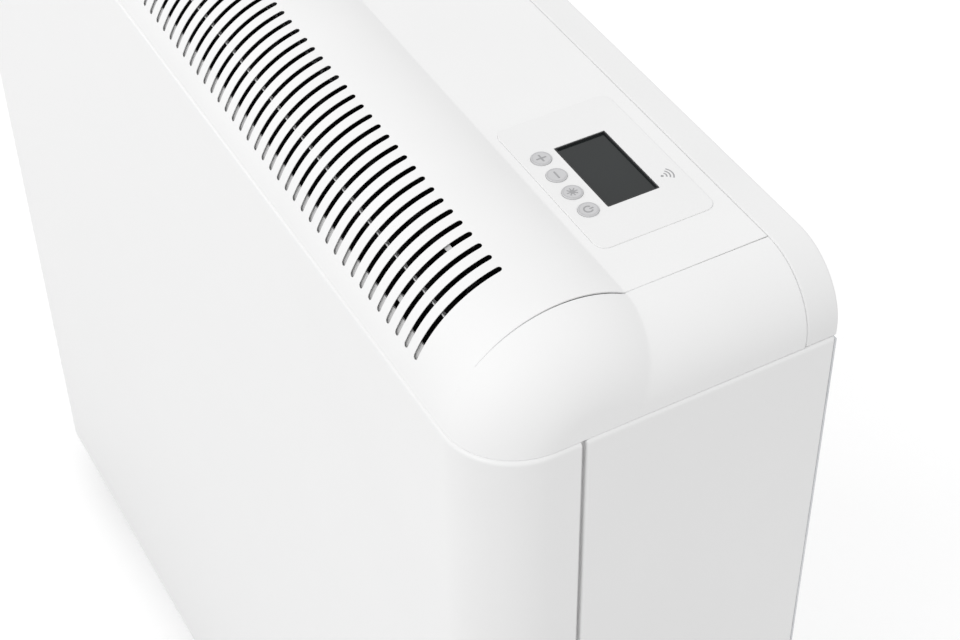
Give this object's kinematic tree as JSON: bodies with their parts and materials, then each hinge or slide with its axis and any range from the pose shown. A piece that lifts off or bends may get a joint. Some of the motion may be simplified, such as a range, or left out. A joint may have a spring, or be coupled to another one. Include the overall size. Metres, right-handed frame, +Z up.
{
  "type": "storage heater",
  "caption": "Upright storage heater: white steel casing with rounded corners, slotted roll and control deck on top, brick heat store with fan and damper inside, on two feet.",
  "frame": {"origin": "centre of the footprint, on the floor", "axes": "+X along the width towards the controls, +Y from the front to the wall, +Z up"},
  "size_m": [0.78, 0.189, 0.73],
  "materials": {
    "casing_paint": "satin",
    "white_moulding": "satin",
    "grey_paint": "satin",
    "zinc_steel": "satin",
    "foot_paint": "matte",
    "bright_steel": "polished",
    "screen": "gloss",
    "screen_frame": "matte",
    "key_silver": "satin",
    "circuit_board": "satin",
    "black_plastic": "matte",
    "insulation": "matte",
    "brick": "matte",
    "element_sheath": "satin",
    "dark_enamel": "matte",
    "ceramic": "matte",
    "bearing_bronze": "satin",
    "rotor_black": "matte",
    "motor_steel": "satin",
    "ivory_plastic": "matte",
    "red_plastic": "gloss"
  },
  "bodies": {
    "heater": {"front_panel": "casing_paint", "side_panel_left": "casing_paint", "side_panel_right": "casing_paint", "back_panel": "zinc_steel", "rear_rail": "white_moulding", "base_tray": "zinc_steel", "foot_left": "foot_paint", "foot_right": "foot_paint", "foot_bolts": "bright_steel", "casing_screws": "bright_steel", "top_cover": "casing_paint", "end_cap_left": "white_moulding", "end_cap_right": "white_moulding", "front_rail": "grey_paint", "grille_stay": "grey_paint", "grille_bracket": "grey_paint", "control_fascia": "white_moulding", "lcd_lens": "screen", "lcd_module": "screen_frame", "display_board": "circuit_board", "tact_switches": "black_plastic", "board_screws": "bright_steel", "core_frame": "zinc_steel", "inner_shell": "zinc_steel", "inner_front": "zinc_steel", "insulation_front": "insulation", "insulation_back": "insulation", "insulation_left": "insulation", "insulation_right": "insulation", "insulation_bottom": "insulation", "insulation_top": "insulation", "bricks_front": "brick", "bricks_back": "brick", "heating_elements": "element_sheath", "element_bushes": "ceramic", "fan_housing": "zinc_steel", "fan_bearings": "bearing_bronze", "fan_motor": "motor_steel", "damper_frame": "zinc_steel", "damper_motor": "motor_steel", "outlet_duct": "dark_enamel", "boost_element": "dark_enamel", "heat_shield": "zinc_steel", "board_carrier": "ivory_plastic", "control_board": "circuit_board", "board_parts": "black_plastic", "terminal_block": "ceramic", "cable_gland": "black_plastic", "thermal_cutout": "ceramic", "core_sensor": "element_sheath", "room_sensor": "ivory_plastic"},
    "key_plus_body": {"key_plus": "key_silver"},
    "key_minus_body": {"key_minus": "key_silver"},
    "key_mode_body": {"key_mode": "key_silver"},
    "key_power_body": {"key_power": "key_silver"},
    "fan": {"fan_shaft": "bright_steel", "fan_rotor": "rotor_black"},
    "damper": {"damper_flap": "bright_steel", "damper_shaft": "bright_steel"},
    "reset": {"reset_button": "red_plastic"}
  },
  "joints": [
    {"name": "key_plus_press", "type": "slide", "parent": "heater", "child": "key_plus_body", "axis": [0, 0, -1], "range_m": [0, 0.0005], "stiffness_N_per_m": 400, "springref_m": -0.0005},
    {"name": "key_minus_press", "type": "slide", "parent": "heater", "child": "key_minus_body", "axis": [0, 0, -1], "range_m": [0, 0.0005], "stiffness_N_per_m": 400, "springref_m": -0.0005},
    {"name": "key_mode_press", "type": "slide", "parent": "heater", "child": "key_mode_body", "axis": [0, 0, -1], "range_m": [0, 0.0005], "stiffness_N_per_m": 400, "springref_m": -0.0005},
    {"name": "key_power_press", "type": "slide", "parent": "heater", "child": "key_power_body", "axis": [0, 0, -1], "range_m": [0, 0.0005], "stiffness_N_per_m": 400, "springref_m": -0.0005},
    {"name": "fan_spin", "type": "hinge", "parent": "heater", "child": "fan", "pos_m": [-0.05317, 0, 0.0766], "axis": [1, 0, 0], "continuous": true},
    {"name": "damper_open", "type": "hinge", "parent": "heater", "child": "damper", "pos_m": [-0.05317, 0, 0.618], "axis": [1, 0, 0], "range_deg": [0, 75]},
    {"name": "reset_press", "type": "slide", "parent": "heater", "child": "reset", "axis": [-1, 0, 0], "range_m": [0, 0.0015], "stiffness_N_per_m": 600, "springref_m": -0.001}
  ]
}
